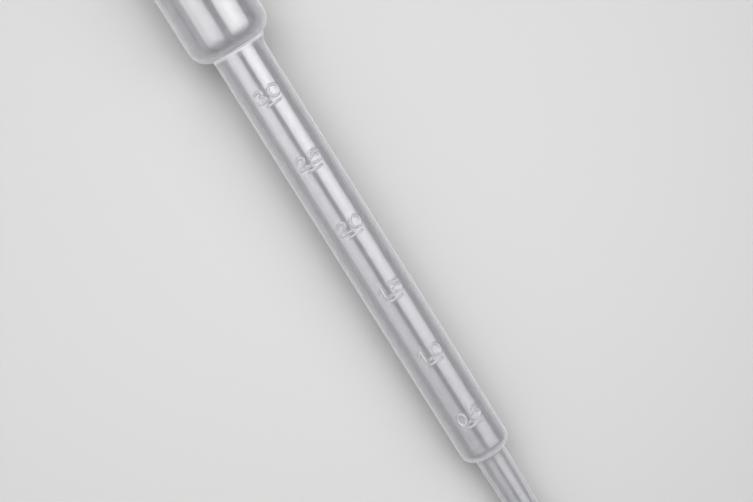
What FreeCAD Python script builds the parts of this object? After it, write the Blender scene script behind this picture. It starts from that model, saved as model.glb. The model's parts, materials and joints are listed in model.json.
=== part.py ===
import FreeCAD, Part
import math
import os

import Sketcher

# Graduated squeeze-bulb pipette, blow moulded in one piece from soft polyethylene. Millimetres.
# In the body's own frame the X axis runs up the middle from the tip's mouth (X = 0) to the closed end of
# the bulb. The mould parts in the XY plane, and the graduation stands on the half that faces +Z.

SIZES = [
    ("tip_length", 37.0),              # mouth to the root of the tip, where the stem's lower shoulder starts
    ("tip_mouth_diameter", 3.7),
    ("tip_root_diameter", 5.25),
    ("tip_bore_diameter", 2.0),        # straight bore behind the mouth
    ("tip_bore_length", 6.0),
    ("tip_root_bore_diameter", 4.2),
    ("tip_fillet_radius", 0.35),
    ("stem_length", 73.7),             # root of the tip to the neck under the bulb
    ("stem_diameter", 8.3),
    ("stem_wall", 0.45),
    ("stem_shoulder_radius", 1.8),
    ("neck_fillet_radius", 0.4),
    ("bulb_length", 41.7),             # neck to the crown
    ("bulb_diameter", 13.35),
    ("bulb_wall", 0.45),
    ("bulb_shoulder_radius", 3.1),
    ("tab_width", 7.0),                # pinched seam that closes the crown
    ("tab_height", 2.6),
    ("tab_thickness", 0.9),
    ("tab_corner_radius", 1.2),
    ("first_mark_height", 6.0),        # root of the tip to the lowest line
    ("last_mark_clearance", 5.0),      # least plain stem above the highest line
    ("mark_volume", 500.0),            # cubic millimetres from one line to the next
    ("mark_length", 2.55),
    ("mark_width", 0.36),
    ("mark_relief", 0.15),
    ("mark_rooting", 0.2),             # how far a line's bead reaches into the wall
]

doc = FreeCAD.newDocument("dropper_pipette")


def size_sheet():
    """Put the driving dimensions in a sheet, one named cell each."""
    sheet = doc.addObject("Spreadsheet::Sheet", "sizes")
    for row, (alias, value) in enumerate(SIZES, start=1):
        sheet.set(f"A{row}", alias)
        sheet.set(f"B{row}", str(value))
        sheet.setAlias(f"B{row}", alias)
    doc.recompute()
    return sheet


sheet = size_sheet()


def size(alias):
    return float(sheet.get(alias))


def origin_feature(body, role):
    return next(item for item in body.Origin.OriginFeatures if item.Role == role)


def new_sketch(body, name, role):
    sketch = body.newObject("Sketcher::SketchObject", name)
    sketch.AttachmentSupport = (origin_feature(body, role), "")
    sketch.MapMode = "FlatFace"
    return sketch


def bind(sketch, name, constraint, expression):
    """Add a named dimension to the sketch and drive it from the sheet."""
    index = sketch.addConstraint(constraint)
    sketch.renameConstraint(index, name)
    sketch.setExpression("Constraints." + name, expression)


def point(x, y):
    return FreeCAD.Vector(x, y, 0)


def line(sketch, start, end):
    return sketch.addGeometry(Part.LineSegment(point(*start), point(*end)))


def arc(sketch, centre, start, end):
    """Add the arc that runs anticlockwise from start to end about centre."""
    radius = math.dist(centre, start)
    angles = [math.atan2(y - centre[1], x - centre[0]) for x, y in (start, end)]
    circle = Part.Circle(point(*centre), FreeCAD.Vector(0, 0, 1), radius)
    return sketch.addGeometry(Part.ArcOfCircle(circle, *angles))


def on_arc(centre, radius, y):
    """The point at height y on the side of a circle that faces the tip."""
    return (centre[0] - math.sqrt(radius**2 - (y - centre[1]) ** 2), y)


# Ends and centres of sketch geometry, and a sketch's own axes.
START, END, CENTRE = 1, 2, 3
ORIGIN_POINT, X_AXIS, Y_AXIS = (-1, 1), -1, -2


def wall_sketch(body):
    """Half section of the whole wall, drawn in the parting plane.

    It runs up the outside from the mouth to the crown, and back down the inside to the mouth.
    """
    bulb_r = size("bulb_diameter") / 2
    stem_r = size("stem_diameter") / 2
    root_r = size("tip_root_diameter") / 2
    mouth_r = size("tip_mouth_diameter") / 2
    bore_r = size("tip_bore_diameter") / 2
    root_bore_r = size("tip_root_bore_diameter") / 2
    bulb_in = bulb_r - size("bulb_wall")
    stem_in = stem_r - size("stem_wall")
    foot_radius = size("stem_shoulder_radius")
    shoulder_radius = size("bulb_shoulder_radius")

    # The stem's shoulder curves in to the tip, and the bulb's shoulder curves in to the stem.
    root_x = size("tip_length")
    neck_x = root_x + size("stem_length")
    crown_x = neck_x + size("bulb_length")
    foot_y = stem_r - foot_radius
    foot = (root_x + math.sqrt(foot_radius**2 - (root_r - foot_y) ** 2), foot_y)
    shoulder_y = bulb_r - shoulder_radius
    shoulder = (neck_x + math.sqrt(shoulder_radius**2 - (stem_r - shoulder_y) ** 2), shoulder_y)
    dome = (crown_x - bulb_r, 0)
    inner_root = on_arc(foot, foot_radius - size("stem_wall"), root_bore_r)
    inner_neck = on_arc(shoulder, shoulder_radius - size("bulb_wall"), stem_in)
    land_x = size("tip_bore_length")

    sketch = new_sketch(body, "wall_section", "XY_Plane")
    tip_outside = line(sketch, (0, mouth_r), (root_x, root_r))
    foot_outside = arc(sketch, foot, (foot[0], stem_r), (root_x, root_r))
    stem_outside = line(sketch, (foot[0], stem_r), (neck_x, stem_r))
    shoulder_outside = arc(sketch, shoulder, (shoulder[0], bulb_r), (neck_x, stem_r))
    bulb_outside = line(sketch, (shoulder[0], bulb_r), (dome[0], bulb_r))
    dome_outside = arc(sketch, dome, (crown_x, 0), (dome[0], bulb_r))
    crown = line(sketch, (crown_x, 0), (dome[0] + bulb_in, 0))
    dome_inside = arc(sketch, dome, (dome[0] + bulb_in, 0), (dome[0], bulb_in))
    bulb_inside = line(sketch, (dome[0], bulb_in), (shoulder[0], bulb_in))
    shoulder_inside = arc(sketch, shoulder, (shoulder[0], bulb_in), inner_neck)
    stem_inside = line(sketch, inner_neck, (foot[0], stem_in))
    foot_inside = arc(sketch, foot, (foot[0], stem_in), inner_root)
    tip_inside = line(sketch, inner_root, (land_x, bore_r))
    bore_land = line(sketch, (land_x, bore_r), (0, bore_r))
    mouth = line(sketch, (0, bore_r), (0, mouth_r))

    corners = [
        (tip_outside, END, foot_outside, END),
        (stem_outside, END, shoulder_outside, END),
        (dome_outside, START, crown, START),
        (crown, END, dome_inside, START),
        (shoulder_inside, END, stem_inside, START),
        (foot_inside, END, tip_inside, START),
        (tip_inside, END, bore_land, START),
        (bore_land, END, mouth, START),
        (mouth, END, tip_outside, START),
        (shoulder_outside, CENTRE, shoulder_inside, CENTRE),
        (foot_outside, CENTRE, foot_inside, CENTRE),
        (dome_outside, CENTRE, dome_inside, CENTRE),
    ]
    smooth_joins = [
        (foot_outside, START, stem_outside, START),
        (shoulder_outside, START, bulb_outside, START),
        (bulb_outside, END, dome_outside, END),
        (dome_inside, END, bulb_inside, START),
        (bulb_inside, END, shoulder_inside, START),
        (stem_inside, END, foot_inside, START),
    ]
    for join in corners:
        sketch.addConstraint(Sketcher.Constraint("Coincident", *join))
    for join in smooth_joins:
        sketch.addConstraint(Sketcher.Constraint("Tangent", *join))
    for level in (stem_outside, bulb_outside, bulb_inside, stem_inside, bore_land):
        sketch.addConstraint(Sketcher.Constraint("Horizontal", level))
    sketch.addConstraint(Sketcher.Constraint("PointOnObject", crown, START, X_AXIS))
    sketch.addConstraint(Sketcher.Constraint("PointOnObject", crown, END, X_AXIS))
    sketch.addConstraint(Sketcher.Constraint("PointOnObject", dome_outside, CENTRE, X_AXIS))
    sketch.addConstraint(Sketcher.Constraint("PointOnObject", mouth, START, Y_AXIS))
    sketch.addConstraint(Sketcher.Constraint("PointOnObject", mouth, END, Y_AXIS))

    def along(name, where, value, expression):
        bind(sketch, name, Sketcher.Constraint("DistanceX", *ORIGIN_POINT, *where, value), expression)

    def out(name, where, value, expression):
        bind(sketch, name, Sketcher.Constraint("DistanceY", *ORIGIN_POINT, *where, value), expression)

    def curve(name, which, value, expression):
        bind(sketch, name, Sketcher.Constraint("Radius", which, value), expression)

    along("root", (tip_outside, END), root_x, "sizes.tip_length")
    along("neck", (stem_outside, END), neck_x, "sizes.tip_length + sizes.stem_length")
    along("crown", (crown, START), crown_x, "sizes.tip_length + sizes.stem_length + sizes.bulb_length")
    along("bore_land", (bore_land, START), land_x, "sizes.tip_bore_length")
    out("mouth_outside", (tip_outside, START), mouth_r, "sizes.tip_mouth_diameter / 2")
    out("root_outside", (tip_outside, END), root_r, "sizes.tip_root_diameter / 2")
    out("stem_outside", (stem_outside, END), stem_r, "sizes.stem_diameter / 2")
    out("bulb_outside", (bulb_outside, END), bulb_r, "sizes.bulb_diameter / 2")
    out("bulb_inside", (bulb_inside, END), bulb_in, "sizes.bulb_diameter / 2 - sizes.bulb_wall")
    out("stem_inside", (stem_inside, END), stem_in, "sizes.stem_diameter / 2 - sizes.stem_wall")
    out("root_inside", (tip_inside, START), root_bore_r, "sizes.tip_root_bore_diameter / 2")
    out("bore_inside", (bore_land, START), bore_r, "sizes.tip_bore_diameter / 2")
    curve("foot_curve", foot_outside, foot_radius, "sizes.stem_shoulder_radius")
    curve("shoulder_curve", shoulder_outside, shoulder_radius, "sizes.bulb_shoulder_radius")
    return sketch


def revolution(body, name, sketch):
    feature = body.newObject("PartDesign::Revolution", name)
    feature.Profile = sketch
    feature.ReferenceAxis = (sketch, ["H_Axis"])
    feature.Angle = 360
    return feature


def edges_where(shape, test):
    """Names of the shape's edges that pass the test, without the poles, which have no curve."""
    return [
        f"Edge{number}"
        for number, edge in enumerate(shape.Edges, start=1)
        if not edge.Degenerated and test(edge)
    ]


def ring_at(x, radius):
    """Test for a circular edge about the X axis."""
    def test(edge):
        circle = edge.Curve
        return (
            isinstance(circle, Part.Circle)
            and abs(circle.Center.x - x) < 0.001
            and abs(circle.Radius - radius) < 0.001
        )
    return test


def fillet(body, name, base, edges, radius_alias):
    doc.recompute()
    feature = body.newObject("PartDesign::Fillet", name)
    feature.Base = (base, edges_where(base.Shape, edges))
    feature.setExpression("Radius", "sizes." + radius_alias)
    return feature


MARK_PITCH = "sizes.mark_volume / (pi * (sizes.stem_diameter / 2 - sizes.stem_wall)^2)"
MARK_ROOM = "sizes.stem_length - sizes.first_mark_height - sizes.last_mark_clearance"
STEPS_UP = f"floor(({MARK_ROOM}) / ({MARK_PITCH}))"


def mark_sketch(body):
    """Section of one graduation line: a low round bead that is rooted in the stem's wall."""
    stem_r = size("stem_diameter") / 2
    middle = size("tip_length") + size("first_mark_height")
    left = middle - size("mark_width") / 2
    right = middle + size("mark_width") / 2
    bottom = stem_r - size("mark_rooting")
    top = stem_r + size("mark_relief")

    sketch = new_sketch(body, "mark_section", "XZ_Plane")
    base = line(sketch, (left, bottom), (right, bottom))
    right_side = line(sketch, (right, bottom), (right, stem_r))
    crest = sketch.addGeometry(Part.Arc(point(right, stem_r), point(middle, top), point(left, stem_r)))
    left_side = line(sketch, (left, stem_r), (left, bottom))
    peak = sketch.addGeometry(Part.Point(point(middle, top)), True)

    for join in (
        (base, END, right_side, START),
        (right_side, END, crest, START),
        (crest, END, left_side, START),
        (left_side, END, base, START),
    ):
        sketch.addConstraint(Sketcher.Constraint("Coincident", *join))
    sketch.addConstraint(Sketcher.Constraint("Horizontal", base))
    sketch.addConstraint(Sketcher.Constraint("Vertical", right_side))
    sketch.addConstraint(Sketcher.Constraint("Vertical", left_side))
    sketch.addConstraint(Sketcher.Constraint("Horizontal", crest, START, crest, END))
    sketch.addConstraint(Sketcher.Constraint("PointOnObject", peak, START, crest))
    sketch.addConstraint(Sketcher.Constraint("Vertical", peak, START, crest, CENTRE))
    bind(
        sketch, "middle", Sketcher.Constraint("DistanceX", *ORIGIN_POINT, peak, START, middle),
        "sizes.tip_length + sizes.first_mark_height",
    )
    bind(
        sketch, "width", Sketcher.Constraint("DistanceX", base, START, base, END, right - left),
        "sizes.mark_width",
    )
    bind(
        sketch, "foot", Sketcher.Constraint("DistanceY", *ORIGIN_POINT, base, START, bottom),
        "sizes.stem_diameter / 2 - sizes.mark_rooting",
    )
    bind(
        sketch, "surface", Sketcher.Constraint("DistanceY", *ORIGIN_POINT, crest, START, stem_r),
        "sizes.stem_diameter / 2",
    )
    bind(
        sketch, "top", Sketcher.Constraint("DistanceY", *ORIGIN_POINT, peak, START, top),
        "sizes.stem_diameter / 2 + sizes.mark_relief",
    )
    return sketch


def graduation(body):
    """One bead bent round the stem, repeated at equal steps of volume as far as the stem has room."""
    bead = revolution(body, "first_mark", mark_sketch(body))
    bead.Midplane = True
    bead.setExpression("Angle", "sizes.mark_length / (sizes.stem_diameter / 2) * 180 / pi")
    doc.recompute()
    pattern = body.newObject("PartDesign::LinearPattern", "graduation")
    pattern.Originals = [bead]
    pattern.Direction = (origin_feature(body, "X_Axis"), [""])
    pattern.Mode = "Extent"
    pattern.setExpression("Length", f"{STEPS_UP} * ({MARK_PITCH})")
    pattern.setExpression("Occurrences", f"{STEPS_UP} + 1")
    body.Tip = pattern
    return pattern


def tab_sketch(body):
    """Outline of the seam tab: an upright rectangle whose foot follows the middle of the dome's wall."""
    half = size("tab_width") / 2
    dome_x = size("tip_length") + size("stem_length") + size("bulb_length") - size("bulb_diameter") / 2
    seat_r = (size("bulb_diameter") - size("bulb_wall")) / 2
    foot_x = dome_x + math.sqrt(seat_r**2 - half**2)
    top_x = dome_x + size("bulb_diameter") / 2 + size("tab_height")

    sketch = new_sketch(body, "tab_outline", "XY_Plane")
    seat = arc(sketch, (dome_x, 0), (foot_x, -half), (foot_x, half))
    right_side = line(sketch, (foot_x, half), (top_x, half))
    top = line(sketch, (top_x, half), (top_x, -half))
    left_side = line(sketch, (top_x, -half), (foot_x, -half))
    for join in (
        (seat, END, right_side, START),
        (right_side, END, top, START),
        (top, END, left_side, START),
        (left_side, END, seat, START),
    ):
        sketch.addConstraint(Sketcher.Constraint("Coincident", *join))
    sketch.addConstraint(Sketcher.Constraint("Horizontal", right_side))
    sketch.addConstraint(Sketcher.Constraint("Horizontal", left_side))
    sketch.addConstraint(Sketcher.Constraint("PointOnObject", seat, CENTRE, X_AXIS))
    sketch.addConstraint(Sketcher.Constraint("Symmetric", top, START, top, END, X_AXIS))
    bind(
        sketch, "dome", Sketcher.Constraint("DistanceX", *ORIGIN_POINT, seat, CENTRE, dome_x),
        "sizes.tip_length + sizes.stem_length + sizes.bulb_length - sizes.bulb_diameter / 2",
    )
    bind(
        sketch, "seat", Sketcher.Constraint("Radius", seat, seat_r),
        "(sizes.bulb_diameter - sizes.bulb_wall) / 2",
    )
    bind(
        sketch, "width", Sketcher.Constraint("DistanceY", top, END, top, START, 2 * half),
        "sizes.tab_width",
    )
    bind(
        sketch, "top", Sketcher.Constraint("DistanceX", *ORIGIN_POINT, top, START, top_x),
        "sizes.tip_length + sizes.stem_length + sizes.bulb_length + sizes.tab_height",
    )
    return sketch


def seam_tab(body):
    pad = body.newObject("PartDesign::Pad", "seam_tab")
    pad.Profile = tab_sketch(body)
    pad.Midplane = True
    pad.setExpression("Length", "sizes.tab_thickness")
    doc.recompute()
    crown_x = size("tip_length") + size("stem_length") + size("bulb_length")

    def outer_corner(edge):
        start, end = (vertex.Point for vertex in edge.Vertexes[:2])
        upright = abs(abs(start.z - end.z) - size("tab_thickness")) < 0.001
        return upright and start.x > crown_x + size("tab_height") - 0.001

    return fillet(
        body, "tab_corners", pad,
        lambda edge: len(edge.Vertexes) == 2 and outer_corner(edge),
        "tab_corner_radius",
    )


def pipette():
    body = doc.addObject("PartDesign::Body", "pipette")
    body.Label = "pipette"
    wall = revolution(body, "wall", wall_sketch(body))
    root_ring = ring_at(size("tip_length"), size("tip_root_diameter") / 2)
    neck_ring = ring_at(size("tip_length") + size("stem_length"), size("stem_diameter") / 2)
    rooted = fillet(body, "tip_fillet", wall, root_ring, "tip_fillet_radius")
    fillet(body, "neck_fillet", rooted, neck_ring, "neck_fillet_radius")
    graduation(body)
    seam_tab(body)
    doc.recompute()
    return body


def contact_circle(next_x, next_diameter, diameter, radius):
    """Centre height and position of a shoulder's curve below the axis, where the pipette can touch down."""
    centre_y = size(diameter) / 2 - size(radius)
    centre_x = next_x + math.sqrt(size(radius) ** 2 - (size(next_diameter) / 2 - centre_y) ** 2)
    return centre_x, -centre_y, size(radius)


def lean(bulb, other):
    """Angle between the axis and the table when the pipette rests on the bulb's curve and the other one."""
    run = bulb[0] - other[0]
    drop = other[1] - bulb[1]
    return math.degrees(math.atan2(drop, run) + math.asin((bulb[2] - other[2]) / math.hypot(run, drop)))


def lay_down(body):
    """Lay the pipette on its side as it rests: on the bulb's shoulder, and on the stem's foot or the mouth.

    The origin is the middle of the underside's box. +X points to the bulb, and the graduation faces up.
    """
    neck_x = size("tip_length") + size("stem_length")
    bulb = contact_circle(neck_x, "stem_diameter", "bulb_diameter", "bulb_shoulder_radius")
    foot = contact_circle(size("tip_length"), "tip_root_diameter", "stem_diameter", "stem_shoulder_radius")
    mouth = (0.0, -size("tip_mouth_diameter") / 2, 0.0)
    turn = FreeCAD.Rotation(FreeCAD.Vector(0, 1, 0), -min(lean(bulb, foot), lean(bulb, mouth)))
    leaning = body.Shape.copy()
    leaning.Placement = FreeCAD.Placement(FreeCAD.Vector(), turn)
    box = leaning.optimalBoundingBox(False)
    body.Placement = FreeCAD.Placement(FreeCAD.Vector(-box.Center.x, -box.Center.y, -box.ZMin), turn)
    doc.recompute()


def check(bodies):
    for item in doc.Objects:
        if {"Invalid", "Error"} & set(item.State):
            raise RuntimeError(f"{item.Name} failed to build: {item.State}")
    for body in bodies:
        if body.Shape.isNull() or not body.Shape.isValid():
            raise RuntimeError(f"{body.Label} has no valid shape")


bodies = [pipette()]
for body in bodies:
    lay_down(body)
check(bodies)
os.makedirs("parts", exist_ok=True)
for body in bodies:
    body.Shape.exportStep(f"parts/{body.Label}.step")
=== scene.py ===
import json
import math

import bmesh
import bpy
import numpy as np
from mathutils import Matrix, Vector


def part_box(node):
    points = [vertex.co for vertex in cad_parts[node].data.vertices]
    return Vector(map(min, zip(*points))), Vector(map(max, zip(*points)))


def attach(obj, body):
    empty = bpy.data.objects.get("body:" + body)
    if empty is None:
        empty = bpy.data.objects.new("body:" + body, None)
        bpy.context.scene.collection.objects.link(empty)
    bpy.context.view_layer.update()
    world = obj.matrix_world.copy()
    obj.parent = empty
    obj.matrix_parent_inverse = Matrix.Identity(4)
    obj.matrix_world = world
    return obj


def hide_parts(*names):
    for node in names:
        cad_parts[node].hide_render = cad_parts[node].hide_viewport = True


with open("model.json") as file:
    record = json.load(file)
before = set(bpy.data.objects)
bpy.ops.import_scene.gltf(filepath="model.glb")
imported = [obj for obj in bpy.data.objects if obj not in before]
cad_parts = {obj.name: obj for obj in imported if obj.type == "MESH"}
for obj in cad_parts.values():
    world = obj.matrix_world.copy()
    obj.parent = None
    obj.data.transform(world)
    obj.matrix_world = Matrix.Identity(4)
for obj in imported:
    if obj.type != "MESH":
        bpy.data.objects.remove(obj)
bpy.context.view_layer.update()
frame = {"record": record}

# A graduated squeeze-bulb pipette, blown in one piece from milky soft polyethylene, lying on its side.
# Metres. In the pipette's own frame X runs up its axis from the tip's mouth to the bulb's crown, and the
# raised numbers stand on the side that faces +Z. The mould parts at plus and minus Y.

# Where the pipette lies, and the sizes of its fits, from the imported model.
mounts = {mount["name"]: mount for mount in frame["record"]["mounts"]}
MM = 0.001
AXIS = -Vector(mounts["stem"]["axis"])
SIDE = Vector((0, 1, 0))
TOP = AXIS.cross(SIDE)
LEAN = math.atan2(AXIS.z, AXIS.x)
BORE_LENGTH = mounts["tip_bore"]["dims"]["length_mm"] * MM
BORE_R = mounts["tip_bore"]["dims"]["r_mm"] * MM
STEM_R = mounts["stem"]["dims"]["r_mm"] * MM
MOUTH = Vector(mounts["tip_bore"]["pos_m"]) - AXIS * BORE_LENGTH / 2
low_corner, high_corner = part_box("pipette")
BULB_R = (high_corner.y - low_corner.y) / 2

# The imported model's rounds are made of flats, so the outside stays this far inside its true round.
FACET_DEPTH = 0.000017

# The other sizes of the wall.
TIP_LENGTH = 0.0370
MOUTH_R = 0.00185
ROOT_R = 0.002625
ROOT_BORE_R = 0.0021
STEM_LENGTH = 0.0737
BULB_LENGTH = 0.0417
WALL = 0.00045
FOOT_RADIUS = 0.0018
SHOULDER_RADIUS = 0.0031
CORNER_RADIUS = 0.00035
RIM_RADIUS = 0.00013
NECK_X = TIP_LENGTH + STEM_LENGTH
CROWN_X = NECK_X + BULB_LENGTH

# Steps round the section's arcs.
CORNER_STEPS = 4
SHOULDER_STEPS = 9
DOME_STEPS = 16

# Below these, points are one point, and a length or a radius is nothing.
CUT_DISTANCE = 1e-7
MERGE_DISTANCE = 1e-6
LEAST_LENGTH2 = 1e-18
LEAST_RADIUS = 1e-9

# The seam tab on the crown. Its corners are cut at these degrees round them.
TAB_HALF_WIDTH = 0.0035
TAB_HALF_THICKNESS = 0.00045
TAB_HEIGHT = 0.0026
TAB_CORNER = 0.0012
TAB_CORNER_CUTS = (0, 30, 52, 72)
TAB_CUT_DEPTH = 0.0016
TAB_EDGE = 0.00018
TAB_EDGE_STEPS = 3

# The graduation: lines at equal steps of volume, in cubic metres, each with its number above it.
MARK_VOLUME = 500e-9
MARK_COUNT = 6
FIRST_MARK_HEIGHT = 0.0060
MARK_PITCH = MARK_VOLUME / (math.pi * (STEM_R - WALL) ** 2)
MARK_HALF_LENGTH = 0.00115
MARK_HALF_WIDTH = 0.00018
STROKE_HALF_WIDTH = 0.0002
STROKE_TOP = 0.00006
RELIEF = 0.00018
NUMBER_BASE = 0.00076
NUMBER_HEIGHT = 0.00185
LEFT_DIGIT = (-0.00140, 0.00128)
RIGHT_DIGIT = (0.00096, 0.00160)
POINT_PLACE = -0.00048
POINT_RADIUS = 0.00026

# The mesh is fine where the numbers and the parting lines are, with (angle, steps) round the axis.
NUMBER_SECTOR = math.radians(63)
SEAM_SECTOR = math.radians(8)
PLAIN_SECTOR = math.pi / 2 - NUMBER_SECTOR / 2 - SEAM_SECTOR / 2
BACK_SECTOR = math.pi - SEAM_SECTOR
SECTORS = [
    (NUMBER_SECTOR, 57),
    (PLAIN_SECTOR, 13),
    (SEAM_SECTOR, 8),
    (BACK_SECTOR, 43),
    (SEAM_SECTOR, 8),
    (PLAIN_SECTOR, 13),
]
FINE_STEP = 0.00008
FINE_BELOW = 0.0003
FINE_ABOVE = 0.0029
PLAIN_STEP = 0.0007
WEB_STEP = 0.00015

# The parting line: a hair-thin ridge in a shallow flat.
SEAM_HALF_WIDTH = 0.00013
SEAM_RELIEF = 0.00005
SEAM_FLAT = math.radians(9)

# The web that the mould leaves in the corner under the bulb, on one parting line. It rises as this power of
# its length, and goes on past the corner to this share of it.
WEB_HEIGHT = 0.00066
WEB_LENGTH = 0.0015
WEB_SPREAD = math.radians(30)
WEB_CURVE = 1.25
WEB_REACH = 1.3

# How far the milkier bands in the corner under the bulb and over the tip's shoulder spread along the wall,
# and how milky they are. The corner's band is a painted highlight: a whiter line where the fillet's
# reflection falls.
CORNER_SPREAD = 0.00048
NECK_HIGHLIGHT_CLOUD = 0.6
FOOT_SPREAD = 0.0011
FOOT_CLOUD = 0.22

# Waves of a blown wall: (wavelength along the axis, lobes round it, phase, share). The inside's are turned.
WAVES = [(0.061, 2, 0.4, 0.34), (0.023, 3, 1.9, 0.30), (0.0127, 5, 4.1, 0.20), (0.0079, 4, 2.7, 0.16)]
OUTSIDE_WAVE = 0.000008
INSIDE_WAVE = 0.00002
INSIDE_TURN = 1.0


def arc(centre, radius, start, end, steps):
    """Points on a circle, from one angle in degrees to another."""
    turns = [math.radians(start + (end - start) * step / steps) for step in range(steps + 1)]
    return [(centre[0] + radius * math.cos(t), centre[1] + radius * math.sin(t)) for t in turns]


def run(start, end, step):
    """Points along a straight stretch, about one step apart, without its two ends."""
    count = max(1, round(math.dist(start, end) / step))
    shares = [index / count for index in range(1, count)]
    return [(start[0] + (end[0] - start[0]) * s, start[1] + (end[1] - start[1]) * s) for s in shares]


def bearing(centre, point):
    """Direction of a point from a circle's centre, in degrees."""
    return math.degrees(math.atan2(point[1] - centre[1], point[0] - centre[0]))


def on_circle(centre, radius, height):
    """The point of a circle at this height, on the side that faces the tip."""
    return (centre[0] - math.sqrt(radius**2 - (height - centre[1]) ** 2), height)


def soft_corner(start, end, centre, radius):
    """Small arc that joins the straight line from start to end to a shoulder's circle, outside both."""
    run_x, run_y = end[0] - start[0], end[1] - start[1]
    length = math.hypot(run_x, run_y)
    along = (run_x / length, run_y / length)
    square = (-along[1], along[0])
    base = (start[0] + square[0] * CORNER_RADIUS, start[1] + square[1] * CORNER_RADIUS)
    to_x, to_y = centre[0] - base[0], centre[1] - base[1]
    reach = to_x * along[0] + to_y * along[1]
    apart = to_x * square[0] + to_y * square[1]
    reach -= math.sqrt((radius + CORNER_RADIUS) ** 2 - apart**2)
    middle = (base[0] + along[0] * reach, base[1] + along[1] * reach)
    foot = (middle[0] - square[0] * CORNER_RADIUS, middle[1] - square[1] * CORNER_RADIUS)
    return arc(middle, CORNER_RADIUS, bearing(middle, foot), bearing(middle, centre), CORNER_STEPS)


def mark_x(index):
    """Place of a line along the axis, counted from the lowest."""
    return TIP_LENGTH + FIRST_MARK_HEIGHT + index * MARK_PITCH


def stem_rows(start_x, end_x, radius):
    """Points up the stem's outside, close together across each line and its number."""
    points = []
    here = start_x
    for index in range(MARK_COUNT):
        low, high = mark_x(index) - FINE_BELOW, mark_x(index) + FINE_ABOVE
        points += run((here, radius), (low, radius), PLAIN_STEP)
        points += [(low, radius), *run((low, radius), (high, radius), FINE_STEP), (high, radius)]
        here = high
    web_x = end_x - WEB_LENGTH
    points += run((here, radius), (web_x, radius), PLAIN_STEP)
    return points + [(web_x, radius), *run((web_x, radius), (end_x, radius), WEB_STEP)]


def wall_line(inset, start, root_r, detail):
    """One side of the wall from the tip to the crown: the outside, or the inside at the wall's inset."""
    foot_r, shoulder_r = FOOT_RADIUS - inset, SHOULDER_RADIUS - inset
    stem_r, bulb_r = STEM_R - inset, BULB_R - inset
    foot_y, shoulder_y = STEM_R - FOOT_RADIUS, BULB_R - SHOULDER_RADIUS
    foot = (TIP_LENGTH + math.sqrt(FOOT_RADIUS**2 - (ROOT_R - foot_y) ** 2), foot_y)
    shoulder = (NECK_X + math.sqrt(SHOULDER_RADIUS**2 - (STEM_R - shoulder_y) ** 2), shoulder_y)
    dome = (CROWN_X - BULB_R, 0)
    root = soft_corner(start, on_circle(foot, foot_r, root_r), foot, foot_r)
    neck = soft_corner((foot[0], stem_r), (NECK_X, stem_r), shoulder, shoulder_r)
    foot_arc = arc(foot, foot_r, bearing(foot, root[-1]), 90, SHOULDER_STEPS * detail)
    shoulder_arc = arc(shoulder, shoulder_r, bearing(shoulder, neck[-1]), 90, SHOULDER_STEPS * detail)
    dome_arc = arc(dome, bulb_r, 90, 0, DOME_STEPS * detail)
    if inset:
        stem = run(foot_arc[-1], neck[0], 2 * PLAIN_STEP)
    else:
        stem = stem_rows(foot_arc[-1][0], neck[0][0], stem_r)
    tip = run(start, root[0], 2 * PLAIN_STEP)
    bulb = run(shoulder_arc[-1], dome_arc[0], 2 * PLAIN_STEP)
    return tip + root + foot_arc[1:] + stem + neck + shoulder_arc[1:] + bulb + dome_arc


def rim(radius, turned):
    """Rounded edge of the mouth at this radius, from the end face inwards."""
    side = 1 if turned else -1
    centre = (RIM_RADIUS, radius + side * RIM_RADIUS)
    return arc(centre, RIM_RADIUS, 180, 180 + side * 90, CORNER_STEPS)


outside_line = rim(MOUTH_R, turned=False) + wall_line(0, (RIM_RADIUS, MOUTH_R), ROOT_R, detail=2)
land = [(RIM_RADIUS, BORE_R), (BORE_LENGTH, BORE_R)]
inside_line = rim(BORE_R, turned=True) + run(*land, PLAIN_STEP) + [land[1]]
inside_line += wall_line(WALL, land[1], ROOT_BORE_R, detail=1)


def bend(x, y, half_width, half_height, start, end, steps=14):
    """Points on part of an oval, for a digit's curve."""
    return [(x + half_width * u, y + half_height * v) for u, v in arc((0, 0), 1, start, end, steps)]


# Middle lines of the digits in a box one wide and one high, which stands on the middle of its base.
DIGITS = {
    "0": [bend(0, 0.5, 0.5, 0.5, 90, 450, 24)],
    "1": [[(-0.34, 0.74), (0.05, 1), (0.05, 0)]],
    "2": [bend(0, 0.72, 0.48, 0.28, 165, -32) + [(-0.5, 0), (0.5, 0)]],
    "3": [bend(-0.04, 0.76, 0.46, 0.24, 150, -90), bend(-0.04, 0.26, 0.52, 0.26, 90, -150)],
    "5": [[(0.42, 1), (-0.34, 1), (-0.4, 0.54)], bend(0, 0.33, 0.5, 0.33, 140, -145)],
}


def raised_strokes(index):
    """The beads of one line and its number, as (middle line, half width), on the stem laid flat."""
    strokes = [([(-MARK_HALF_LENGTH, 0), (MARK_HALF_LENGTH, 0)], MARK_HALF_WIDTH)]
    first, last = f"{(index + 1) / 2:.1f}".split(".")
    for digit, (place, width) in ((first, LEFT_DIGIT), (last, RIGHT_DIGIT)):
        for points in DIGITS[digit]:
            line = [(place + x * width, NUMBER_BASE + y * NUMBER_HEIGHT) for x, y in points]
            strokes.append((line, STROKE_HALF_WIDTH))
    strokes.append(([(POINT_PLACE, NUMBER_BASE)] * 2, POINT_RADIUS))
    return strokes


def distance_to_line(across, up, line):
    """Distance of every point to a bent line."""
    nearest = np.full(across.shape, np.inf)
    for (x0, y0), (x1, y1) in zip(line, line[1:]):
        length2 = max((x1 - x0) ** 2 + (y1 - y0) ** 2, LEAST_LENGTH2)
        share = np.clip(((across - x0) * (x1 - x0) + (up - y0) * (y1 - y0)) / length2, 0, 1)
        far = np.hypot(across - x0 - share * (x1 - x0), up - y0 - share * (y1 - y0))
        nearest = np.minimum(nearest, far)
    return nearest


def bead(distance, half_width):
    """Height of a soft round bead, as a share of its relief."""
    return 0.5 + 0.5 * np.cos(np.pi * np.clip(distance / half_width, 0, 1))


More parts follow.
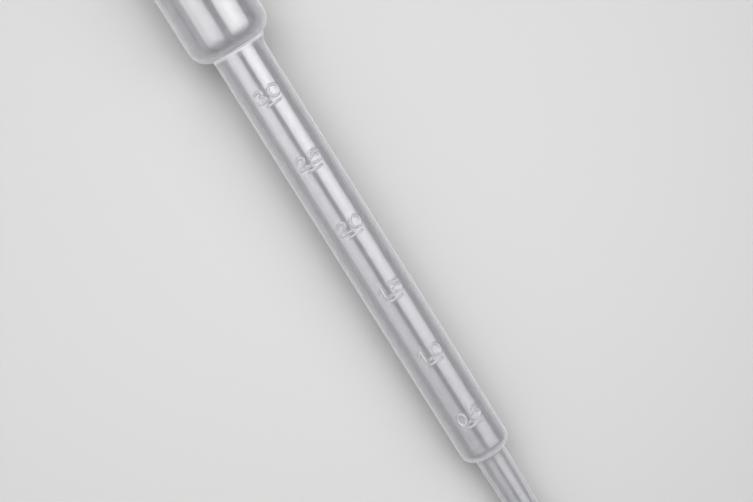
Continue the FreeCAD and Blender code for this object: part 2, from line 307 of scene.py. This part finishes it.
def graduation(x, around):
    """Height of the raised lines and numbers, as a share of their relief."""
    height = np.zeros(x.shape)
    for index in range(MARK_COUNT):
        up = x - mark_x(index)
        in_row = (up > -FINE_BELOW) & (up < FINE_ABOVE)
        near = np.flatnonzero(in_row & (abs(around) < NUMBER_SECTOR / 2))
        for line, half_width in raised_strokes(index):
            distance = distance_to_line(around[near] * STEM_R, up[near], line)
            flank = np.maximum(distance - STROKE_TOP, 0)
            height[near] = np.maximum(height[near], bead(flank, half_width - STROKE_TOP))
    return height


def seam_relief(around, radius):
    """Height of the parting line's ridge, which stands in a flat and so ends level with the wall."""
    off = abs(abs(around) - math.pi / 2)
    ridge = bead(off * radius, SEAM_HALF_WIDTH)
    return SEAM_RELIEF * (ridge - np.exp(-((off / SEAM_FLAT) ** 2)))


def web_height(x, around, radius):
    """How far the web stands out of the stem and the shoulder."""
    up = np.clip(1 - (NECK_X - x) / WEB_LENGTH, 0, WEB_REACH)
    outline = STEM_R + WEB_HEIGHT * up**WEB_CURVE * bead(abs(around - math.pi / 2), WEB_SPREAD)
    under_bulb = (x > NECK_X - WEB_LENGTH) & (x < NECK_X + SHOULDER_RADIUS)
    return np.where(under_bulb, np.maximum(outline - radius, 0), 0)


def neck_highlight_and_foot_cloud(x):
    """How much milkier the wall is in the corner under the bulb, where it is a painted highlight for the
    corner's bright reflected line, and over the tip's shoulder.
    """
    corner = bead(abs(x - NECK_X + CORNER_SPREAD / 4), CORNER_SPREAD)
    foot = bead(abs(x - TIP_LENGTH - FOOT_SPREAD / 2), FOOT_SPREAD)
    return NECK_HIGHLIGHT_CLOUD * corner + FOOT_CLOUD * foot


def waves(x, around, depth):
    """How far a blown wall falls short of its true round, from 0 to depth."""
    total = np.zeros(x.shape)
    for wavelength, lobes, phase, share in WAVES:
        total += share * np.sin(2 * math.pi * x / wavelength + phase) * np.sin(lobes * around + phase)
    return depth * (0.5 + 0.5 * total)


def shape_surface(bm):
    """Raise the graduation and the parting lines on the outside, and make both faces of the wall uneven."""
    place = np.array([vert.co for vert in bm.verts])
    x = place[:, 0]
    radius = np.hypot(place[:, 1], place[:, 2])
    around = np.arctan2(-place[:, 1], place[:, 2])
    middle = (np.interp(x, *np.array(outside_line).T) + np.interp(x, *np.array(inside_line).T)) / 2
    outer = radius > middle
    calm = np.clip(radius / MOUTH_R, 0, 1) * np.clip(x / TIP_LENGTH, 0, 1)
    outside_fall = FACET_DEPTH + waves(x, around, OUTSIDE_WAVE)
    fall = np.where(outer, outside_fall, waves(x, around + INSIDE_TURN, INSIDE_WAVE))
    marks = np.where(outer, graduation(x, around), 0)
    raised = RELIEF * marks + seam_relief(around, radius) * calm + web_height(x, around, radius)
    moved = np.where(outer, raised, 0) - fall * calm
    share = (radius + moved) / np.maximum(radius, LEAST_RADIUS)
    frosted = bm.verts.layers.float.new("frosted")
    # This layer holds a painted highlight, a whiter band in the corner under the bulb, and a milkier wall
    # over the tip's shoulder.
    painted_highlight_cloud = bm.verts.layers.float.new("painted_highlight_cloud")
    for vert, factor, mark, corner in zip(bm.verts, share, marks, neck_highlight_and_foot_cloud(x)):
        vert.co.y *= factor
        vert.co.z *= factor
        vert[frosted] = mark
        vert[painted_highlight_cloud] = corner


def spin_wall(bm):
    """Turn the wall's section round the axis, sector by sector, and close it."""
    section = inside_line[::-1] + outside_line
    start = Matrix.Rotation(-NUMBER_SECTOR / 2, 4, "X")
    verts = [bm.verts.new(start @ Vector((x, 0, max(r, 0)))) for x, r in section]
    edges = [bm.edges.new(pair) for pair in zip(verts, verts[1:])]
    ring = verts + edges
    for angle, steps in SECTORS:
        made = bmesh.ops.spin(
            bm, geom=ring, cent=(0, 0, 0), axis=(1, 0, 0), angle=angle, steps=steps,
            use_merge=False, use_duplicate=False,
        )
        ring = made["geom_last"]
    bmesh.ops.remove_doubles(bm, verts=bm.verts, dist=MERGE_DISTANCE)


def add_tab(bm):
    """Pull the seam tab out of the crown: cut its outline into the dome, extrude it and round its edges."""
    corner_cuts = [TAB_HALF_WIDTH - TAB_CORNER * (1 - math.sin(math.radians(a))) for a in TAB_CORNER_CUTS]
    cuts = [((0, side * y, 0), (0, 1, 0)) for side in (-1, 1) for y in [*corner_cuts, TAB_HALF_WIDTH]]
    cuts += [((0, 0, side * TAB_HALF_THICKNESS), (0, 0, 1)) for side in (-1, 1)]
    dome = Vector((CROWN_X - BULB_R, 0, 0))
    shell = BULB_R - WALL / 2

    def on_crown(centre):
        """Whether a face with this middle is on the outside, near the crown."""
        return (centre - dome).length > shell and centre.x > CROWN_X - TAB_CUT_DEPTH

    def on_seat(centre):
        """Whether it is inside the tab's outline too."""
        return on_crown(centre) and abs(centre.y) < TAB_HALF_WIDTH and abs(centre.z) < TAB_HALF_THICKNESS

    for point, normal in cuts:
        crown = [face for face in bm.faces if on_crown(face.calc_center_median())]
        edges = dict.fromkeys(edge for face in crown for edge in face.edges)
        verts = dict.fromkeys(vert for face in crown for vert in face.verts)
        geom = [*crown, *edges, *verts]
        bmesh.ops.bisect_plane(bm, geom=geom, dist=CUT_DISTANCE, plane_co=point, plane_no=normal)
    seat = [face for face in bm.faces if on_seat(face.calc_center_median())]
    made = bmesh.ops.extrude_face_region(bm, geom=seat)["geom"]
    bmesh.ops.delete(bm, geom=seat, context="FACES")
    for vert in [item for item in made if isinstance(item, bmesh.types.BMVert)]:
        past = max(0, abs(vert.co.y) - (TAB_HALF_WIDTH - TAB_CORNER))
        drop = TAB_CORNER - math.sqrt(max(0, TAB_CORNER**2 - past**2))
        vert.co.x = CROWN_X + TAB_HEIGHT - drop
    top = [item for item in made if isinstance(item, bmesh.types.BMFace)]
    top_edges = [edge for face in top for edge in face.edges]
    rim_edges = [edge for edge in top_edges if sum(face in top for face in edge.link_faces) == 1]
    bmesh.ops.bevel(
        bm, geom=rim_edges, offset=TAB_EDGE, segments=TAB_EDGE_STEPS, profile=0.5, affect="EDGES",
        material=-1, clamp_overlap=True,
    )


def placement(origin, axes):
    """The place at this origin, with its X, Y and Z along these three directions."""
    return Matrix.Translation(origin) @ Matrix(axes).transposed().to_4x4()


def mesh_piece(name, bm, material, place=Matrix()):
    """Put a finished bmesh into the scene as one smooth piece, with its place in its mesh."""
    bm.transform(place)
    bmesh.ops.recalc_face_normals(bm, faces=bm.faces)
    mesh = bpy.data.meshes.new(name)
    bm.to_mesh(mesh)
    bm.free()
    mesh.shade_smooth()
    mesh.materials.append(material)
    piece = bpy.data.objects.new(name, mesh)
    bpy.context.scene.collection.objects.link(piece)
    return piece


class Socket:
    """A shader socket, with Python's operators as Math nodes."""

    def __init__(self, shader, link):
        self.shader, self.link = shader, link

    def math(self, operation, first, second):
        return self.shader.node("ShaderNodeMath", {"operation": operation}, {0: first, 1: second})

    def __add__(self, other):
        return self.math("ADD", self, other)

    def __sub__(self, other):
        return self.math("SUBTRACT", self, other)

    def __rsub__(self, other):
        return self.math("SUBTRACT", other, self)

    def __mul__(self, other):
        return self.math("MULTIPLY", self, other)

    __radd__, __rmul__ = __add__, __mul__


class Shader:
    """A material's node tree, to which nodes are added by type, settings and socket values."""

    def __init__(self, name):
        self.material = bpy.data.materials.new(name)
        self.material.use_nodes = True
        self.tree = self.material.node_tree
        self.tree.nodes.clear()

    def node(self, kind, settings=None, values=None, output=0):
        made = self.tree.nodes.new(kind)
        for key, value in (settings or {}).items():
            setattr(made, key, value)
        for key, value in (values or {}).items():
            if isinstance(value, Socket):
                self.tree.links.new(value.link, made.inputs[key])
            else:
                made.inputs[key].default_value = value
        return Socket(self, made.outputs[output])

    def surface(self, shading):
        end = self.tree.nodes.new("ShaderNodeOutputMaterial")
        self.tree.links.new(shading.link, end.inputs["Surface"])
        return self.material


# The plastic's skin: how its streaks are drawn out, and how far each kind of grain raises and roughens it.
DRAWN_OUT = (0.06, 1, 1)
STREAK_HEIGHT = 0.6
GRAIN_HEIGHT = 0.4
RIPPLE_HEIGHT = 2
SKIN_DEPTH = 0.00002
SMOOTH_ROUGHNESS = 0.1
STREAK_ROUGHNESS = 0.12
FROST_ROUGHNESS = 0.25

# Its milk: the colours of the wall where it is clear, dense and cloudy, and how cloudy each cause makes it.
CLEAR_MILK = (0.67, 0.67, 0.71, 1)
DENSE_MILK = (0.73, 0.73, 0.76, 1)
WHITE_MILK = (0.86, 0.86, 0.89, 1)
PLASTIC_IOR = 1.51
EDGE_CLOUD = 0.9
FROST_CLOUD = 0.17
MOTTLE_CLOUD = 0.22
MOTTLE_MIDDLE = 0.35


def milky_plastic():
    """Soft polyethylene as blown: milky and clear at once, with a satin skin drawn out along the axis."""
    shader = Shader("milky_polyethylene")
    place = shader.node("ShaderNodeTexCoord", output="Object")
    level = shader.node(
        "ShaderNodeMapping", {"vector_type": "POINT"}, {"Vector": place, "Rotation": (0, LEAN, 0)},
    )
    drawn = shader.node(
        "ShaderNodeMapping", {"vector_type": "POINT"}, {"Vector": level, "Scale": DRAWN_OUT},
    )

    def noise(vector, scale, detail, roughness):
        return shader.node(
            "ShaderNodeTexNoise", {},
            {"Vector": vector, "Scale": scale, "Detail": detail, "Roughness": roughness},
        )

    frosted = shader.node("ShaderNodeAttribute", {"attribute_name": "frosted"}, output="Fac")
    streaks = noise(drawn, scale=1500, detail=3, roughness=0.55)
    grain = noise(level, scale=2600, detail=2, roughness=0.5)
    clouds = noise(level, scale=120, detail=3, roughness=0.5)
    ripples = noise(drawn, scale=420, detail=1, roughness=0.5)
    mottle = noise(level, scale=900, detail=4, roughness=0.65)
    colour = shader.node(
        "ShaderNodeMix", {"data_type": "RGBA"}, {0: clouds, 6: CLEAR_MILK, 7: DENSE_MILK}, output=2,
    )
    skin = STREAK_HEIGHT * streaks + GRAIN_HEIGHT * grain + RIPPLE_HEIGHT * ripples
    bump = shader.node(
        "ShaderNodeBump", {}, {"Strength": 0.6, "Distance": SKIN_DEPTH, "Height": skin}, output="Normal",
    )
    plastic = shader.node(
        "ShaderNodeBsdfPrincipled", {},
        {
            "Base Color": colour,
            "Roughness": SMOOTH_ROUGHNESS + STREAK_ROUGHNESS * streaks + FROST_ROUGHNESS * frosted,
            "IOR": PLASTIC_IOR,
            "Specular IOR Level": 1.0,
            "Transmission Weight": 0.85,
            "Coat Weight": 1.0,
            "Coat Roughness": 0.13,
            "Coat IOR": 1.8,
            "Normal": bump,
        },
    )
    milk = shader.node(
        "ShaderNodeBsdfPrincipled", {},
        {"Base Color": WHITE_MILK, "Roughness": 0.4, "IOR": PLASTIC_IOR, "Normal": bump},
    )
    # Whiter milk in the corner under the bulb is a painted highlight; over the tip's shoulder the wall is
    # only milkier.
    painted_highlight_cloud = shader.node("ShaderNodeAttribute", {"attribute_name": "painted_highlight_cloud"}, output="Fac")
    facing = shader.node("ShaderNodeLayerWeight", {}, {"Blend": 0.5}, output="Facing")
    edge_on = facing * facing * facing
    cloudy = EDGE_CLOUD * edge_on + painted_highlight_cloud + FROST_CLOUD * frosted + MOTTLE_CLOUD * (mottle - MOTTLE_MIDDLE)
    return shader.surface(shader.node("ShaderNodeMixShader", {}, {0: cloudy, 1: plastic, 2: milk}))


def plain_surface(name, colour, roughness):
    """A surface of one colour."""
    shader = Shader(name)
    return shader.surface(
        shader.node("ShaderNodeBsdfPrincipled", {}, {"Base Color": colour, "Roughness": roughness})
    )


def blown_pipette():
    """The whole pipette: its wall, the raised marks and the tab, as one piece."""
    bm = bmesh.new()
    spin_wall(bm)
    shape_surface(bm)
    add_tab(bm)
    place = placement(MOUTH, (AXIS, SIDE, TOP))
    piece = mesh_piece("blown_pipette", bm, milky_plastic(), place)
    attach(piece, "root")
    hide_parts("pipette")


# The view: down on the stem, a little from the bulb's end and from beside the numbers' middle.
VIEW_MIDDLE = 0.07726
VIEW_DISTANCE = 0.320
VIEW_LEAN = math.radians(9)
VIEW_TURN = math.radians(6.4)
LENS = 100.39
SENSOR = 36

# How far the stem slants from upright in the view, and how far off its middle the camera aims, as shares
# of the distance, to the right and up.
VIEW_SLANT = math.radians(32.027)
AIM_RIGHT = 0.010949
AIM_UP = -0.007501

camera_side = math.cos(VIEW_TURN) * TOP + math.sin(VIEW_TURN) * SIDE
view_middle = MOUTH + VIEW_MIDDLE * AXIS


def add_camera():
    """The camera, which looks down on the stem with the tip towards the lower right."""
    back = math.cos(VIEW_LEAN) * camera_side + math.sin(VIEW_LEAN) * AXIS
    down = (-AXIS + AXIS.dot(back) * back).normalized()
    across = down.cross(-back)
    right = math.sin(VIEW_SLANT) * down + math.cos(VIEW_SLANT) * across
    up = math.sin(VIEW_SLANT) * across - math.cos(VIEW_SLANT) * down
    data = bpy.data.cameras.new("camera")
    data.lens = LENS
    data.sensor_width = SENSOR
    data.clip_start = 0.01
    camera = bpy.data.objects.new("camera", data)
    bpy.context.scene.collection.objects.link(camera)
    aim = view_middle + VIEW_DISTANCE * (AIM_RIGHT * right + AIM_UP * up)
    eye = view_middle + VIEW_DISTANCE * back
    look = (aim - eye).normalized()
    right = (right - right.dot(look) * look).normalized()
    camera.matrix_world = placement(eye, (right, right.cross(look), -look))
    bpy.context.scene.camera = camera


# The soft boxes: (name, degrees round the axis from the camera's side, place along it from the view's middle,
# distance from it, (length, width), radiance, share of the radiance that is left at the tip's end).
SOFT_BOXES = [
    ("right_box", 37.0, -0.047, 0.171, (0.22, 0.184), 1.09, 0.35),
    ("left_box", -35.9, -0.0355, 0.171, (0.189, 0.163), 0.75, 0.27),
    ("side_box", -68.0, -0.014, 0.19, (0.19, 0.08), 0.25, 0.5),
    ("end_box", 0.0, 0.25, 0.25, (0.25, 0.25), 1.6, 1.0),
]
BOX_SPREAD = math.radians(100)

# The light that fills in round them.
FAR_LIGHT = 2.1
FAR_LIGHT_SIDE = (1, 0.1, 1)
FAR_LIGHT_WIDTH = math.radians(60)
ROOM_LIGHT = 0.25


def soft_box(name, turn, along, distance, size, radiance, tip_share):
    """A soft box that faces the pipette and grows dimmer towards the tip."""
    angle = math.radians(turn)
    out = math.cos(angle) * camera_side + math.sin(angle) * AXIS.cross(camera_side)
    data = bpy.data.lights.new(name, "AREA")
    data.shape = "RECTANGLE"
    data.size, data.size_y = size
    data.energy = radiance * math.pi * size[0] * size[1]
    data.spread = BOX_SPREAD
    data.use_nodes = True
    nodes, links = data.node_tree.nodes, data.node_tree.links
    across = nodes.new("ShaderNodeNewGeometry")
    parts = nodes.new("ShaderNodeSeparateXYZ")
    fade = nodes.new("ShaderNodeMapRange")
    fade.inputs["To Min"].default_value = tip_share
    links.new(across.outputs["Parametric"], parts.inputs["Vector"])
    links.new(parts.outputs["X"], fade.inputs["Value"])
    links.new(fade.outputs["Result"], nodes["Emission"].inputs["Strength"])
    lamp = bpy.data.objects.new(name, data)
    bpy.context.scene.collection.objects.link(lamp)
    lamp.matrix_world = placement(view_middle + along * AXIS + distance * out, (AXIS, out.cross(AXIS), out))
    lamp.visible_camera = False


def far_light():
    """A wide soft light from past the bulb's end, which reaches the whole floor."""
    data = bpy.data.lights.new("far_light", "SUN")
    data.energy = FAR_LIGHT
    data.angle = FAR_LIGHT_WIDTH
    lamp = bpy.data.objects.new("far_light", data)
    bpy.context.scene.collection.objects.link(lamp)
    lamp.matrix_world = Vector(FAR_LIGHT_SIDE).to_track_quat("Z", "Y").to_matrix().to_4x4()


FLOOR_R = 0.9
FLOOR_BEND = 0.4
FLOOR_WALL_TOP = 0.9
FLOOR_STEPS = 72
FLOOR_BEND_STEPS = 12
FLOOR_MERGE = 1e-5
PALE_GREY = (0.5, 0.5, 0.5, 1)


def add_stage():
    """A plain pale floor that curves up into a low round wall."""
    bm = bmesh.new()
    bend_up = arc((FLOOR_R, FLOOR_BEND), FLOOR_BEND, -90, 0, FLOOR_BEND_STEPS)
    edge = [(0, 0), *bend_up, (FLOOR_R + FLOOR_BEND, FLOOR_WALL_TOP)]
    verts = [bm.verts.new((x, 0, z)) for x, z in edge]
    edges = [bm.edges.new(pair) for pair in zip(verts, verts[1:])]
    bmesh.ops.spin(
        bm, geom=verts + edges, cent=(0, 0, 0), axis=(0, 0, 1), angle=2 * math.pi, steps=FLOOR_STEPS,
        use_merge=True,
    )
    bmesh.ops.remove_doubles(bm, verts=bm.verts, dist=FLOOR_MERGE)
    floor = mesh_piece("floor", bm, plain_surface("pale_floor", PALE_GREY, roughness=0.9))


def add_world():
    """Even white light from all round."""
    world = bpy.data.worlds.new("studio")
    world.use_nodes = True
    background = world.node_tree.nodes["Background"]
    background.inputs["Color"].default_value = (1, 1, 1, 1)
    background.inputs["Strength"].default_value = ROOM_LIGHT
    bpy.context.scene.world = world


blown_pipette()
add_stage()
add_camera()
for box in SOFT_BOXES:
    soft_box(*box)
far_light()
add_world()
bpy.context.scene.view_settings.view_transform = "Standard"
